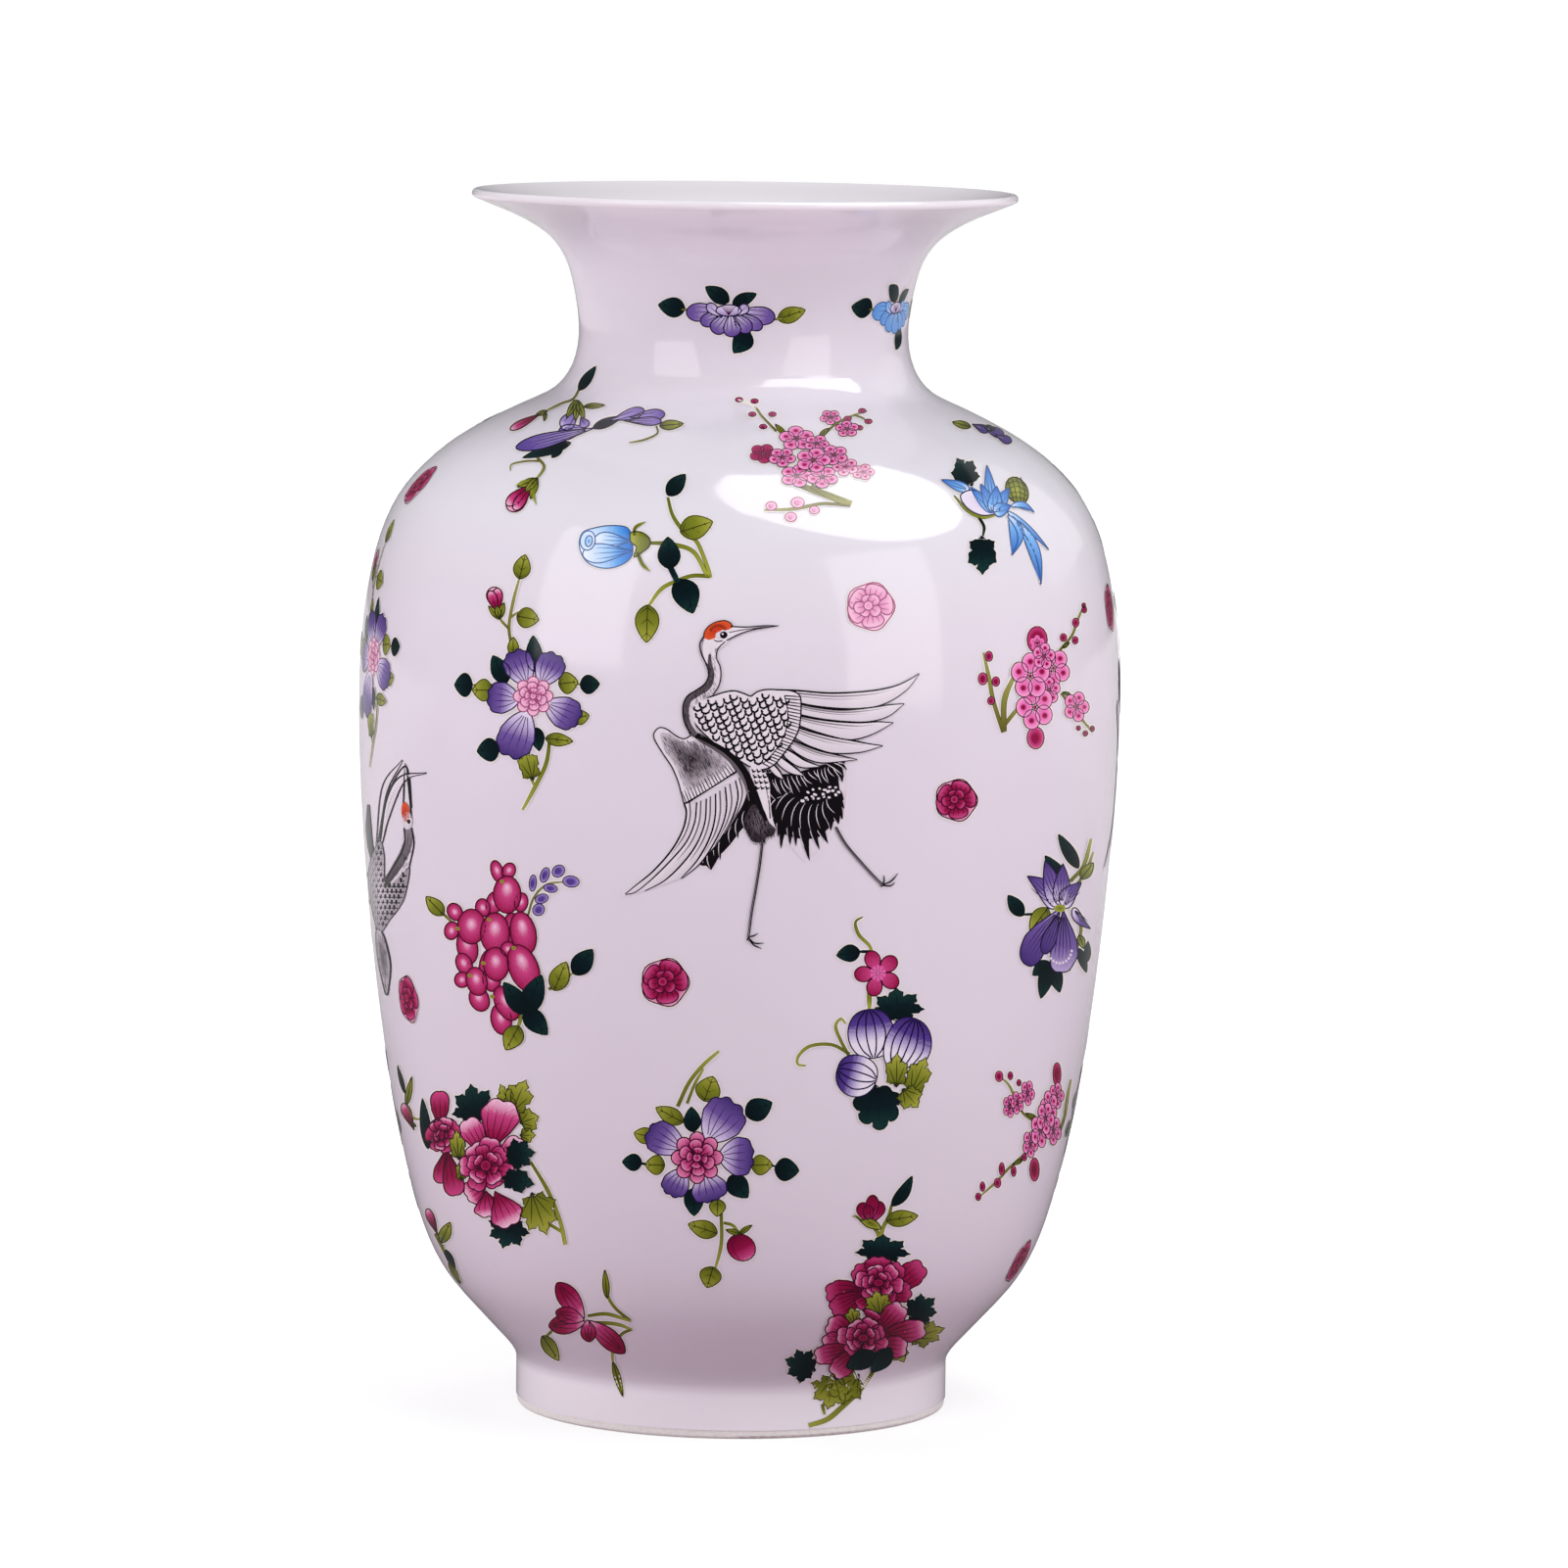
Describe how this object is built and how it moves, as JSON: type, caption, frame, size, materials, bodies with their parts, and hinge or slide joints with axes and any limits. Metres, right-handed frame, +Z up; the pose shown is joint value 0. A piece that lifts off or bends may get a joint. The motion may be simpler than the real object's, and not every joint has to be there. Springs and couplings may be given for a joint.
{
  "type": "porcelain vase",
  "caption": "Tall porcelain vase with a broad rounded body, a short narrow neck, a wide flared mouth and a low foot ring.",
  "frame": {"origin": "centre of the resting face, on the vase's axis", "axes": "+Z up along the vase's axis of revolution; X and Y are level, and -Y is the side that faces the camera in the picture"},
  "size_m": [0.2182, 0.2182, 0.35],
  "materials": {
    "bare_porcelain": "unglazed fired porcelain, fine and matt",
    "porcelain_body": "fired porcelain body under the glaze",
    "slip": "fired joining slip of the same clay",
    "outside_glaze": "glossy clear glaze over white porcelain, faint pink cast",
    "inside_glaze": "glossy clear glaze, unpainted"
  },
  "bodies": {
    "root": {"foot_ring": "bare_porcelain", "foot_ring_slip": "slip", "lower_body": "porcelain_body", "waist_slip": "slip", "upper_body": "porcelain_body", "neck_slip": "slip", "neck_and_mouth": "porcelain_body", "inside_glaze": "inside_glaze", "outside_glaze": "outside_glaze", "base_glaze": "inside_glaze"}
  },
  "joints": []
}
